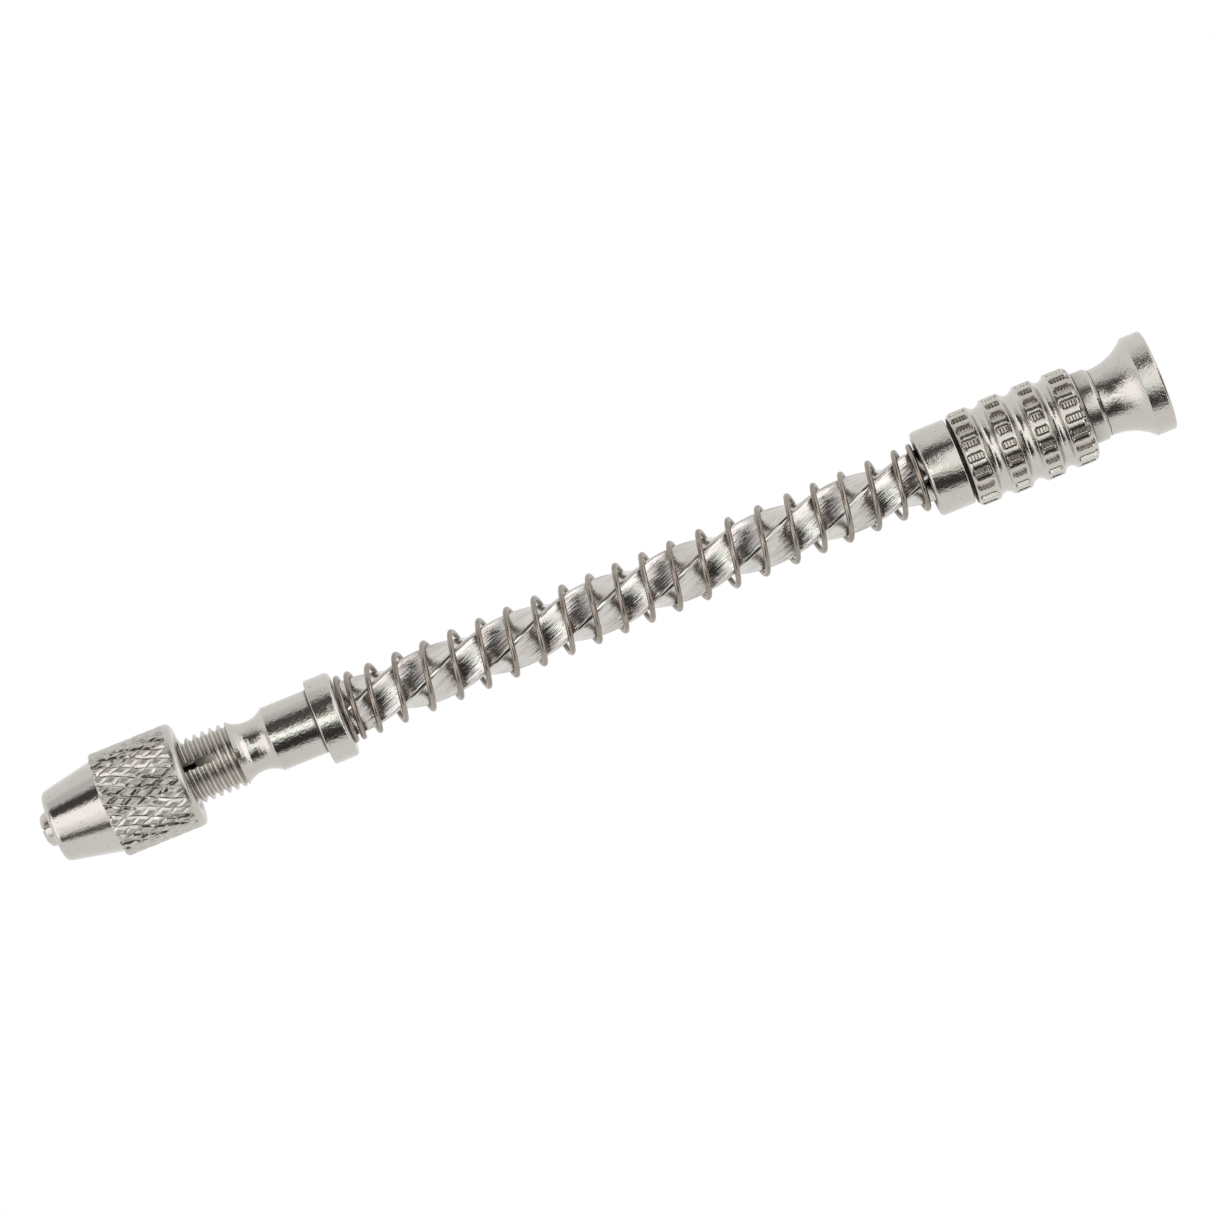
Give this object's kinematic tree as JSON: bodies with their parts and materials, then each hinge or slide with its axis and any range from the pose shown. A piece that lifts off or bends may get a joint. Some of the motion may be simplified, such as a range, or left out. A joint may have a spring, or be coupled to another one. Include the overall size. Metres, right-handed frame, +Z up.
{
  "type": "spiral push drill",
  "caption": "Miniature spiral push drill with a knurled collet chuck, twisted square shaft, coil return spring, ribbed sliding grip and flared swivel palm cap.",
  "frame": {"origin": "on the surface that the drill lies on, under the middle of its length and its axis", "axes": "+X along the drill's axis from the collet's tip to the palm cap, +Z up from the surface that it lies on"},
  "size_m": [0.106, 0.0096, 0.0095],
  "materials": {
    "nickel_plate": "bright nickel plate with a light orange peel",
    "knurled_nickel": "nickel plate over pressed knurls and flutes",
    "drawn_bar": "plated drawn bar with fine streaks along the twist",
    "spring_steel": "drawn steel wire with brown stains",
    "bearing_brass": "turned brass",
    "screw_steel": "blued steel"
  },
  "bodies": {
    "handle": {"palm_cap": "nickel_plate"},
    "spindle": {"chuck_body": "nickel_plate", "spring_seat": "nickel_plate", "twisted_shaft": "drawn_bar", "return_spring": "spring_steel", "stop_collar": "nickel_plate", "thrust_washer": "bearing_brass", "cap_screw": "screw_steel"},
    "slider": {"slide_nose": "nickel_plate", "grip_sleeve": "knurled_nickel", "drive_nut": "bearing_brass", "rear_bush": "bearing_brass"},
    "collet": {"collet": "nickel_plate"},
    "chuck_nut": {"chuck_nut": "knurled_nickel"}
  },
  "joints": [
    {"name": "slider_slide", "type": "slide", "parent": "handle", "child": "slider", "axis": [-1, 0, 0], "range_m": [0, 0.04], "stiffness_N_per_m": 160, "springref_m": -0.005, "deforming": ["return_spring"]},
    {"name": "spindle_spin", "type": "hinge", "parent": "handle", "child": "spindle", "pos_m": [0, 0, 0.00477], "axis": [1, 0, 0], "range_deg": [-460, 0]},
    {"name": "collet_slide", "type": "slide", "parent": "spindle", "child": "collet", "axis": [1, 0, 0], "range_m": [-0.003, 0.00038]},
    {"name": "nut_turn", "type": "hinge", "parent": "collet", "child": "chuck_nut", "pos_m": [0, 0, 0.00477], "axis": [1, 0, 0], "range_deg": [-1441, 181]}
  ],
  "couplings": [
    {"joint": "spindle_spin", "follows": "slider_slide", "rad_per_m": -199.02},
    {"joint": "nut_turn", "follows": "collet_slide", "rad_per_m": 8377.6}
  ]
}
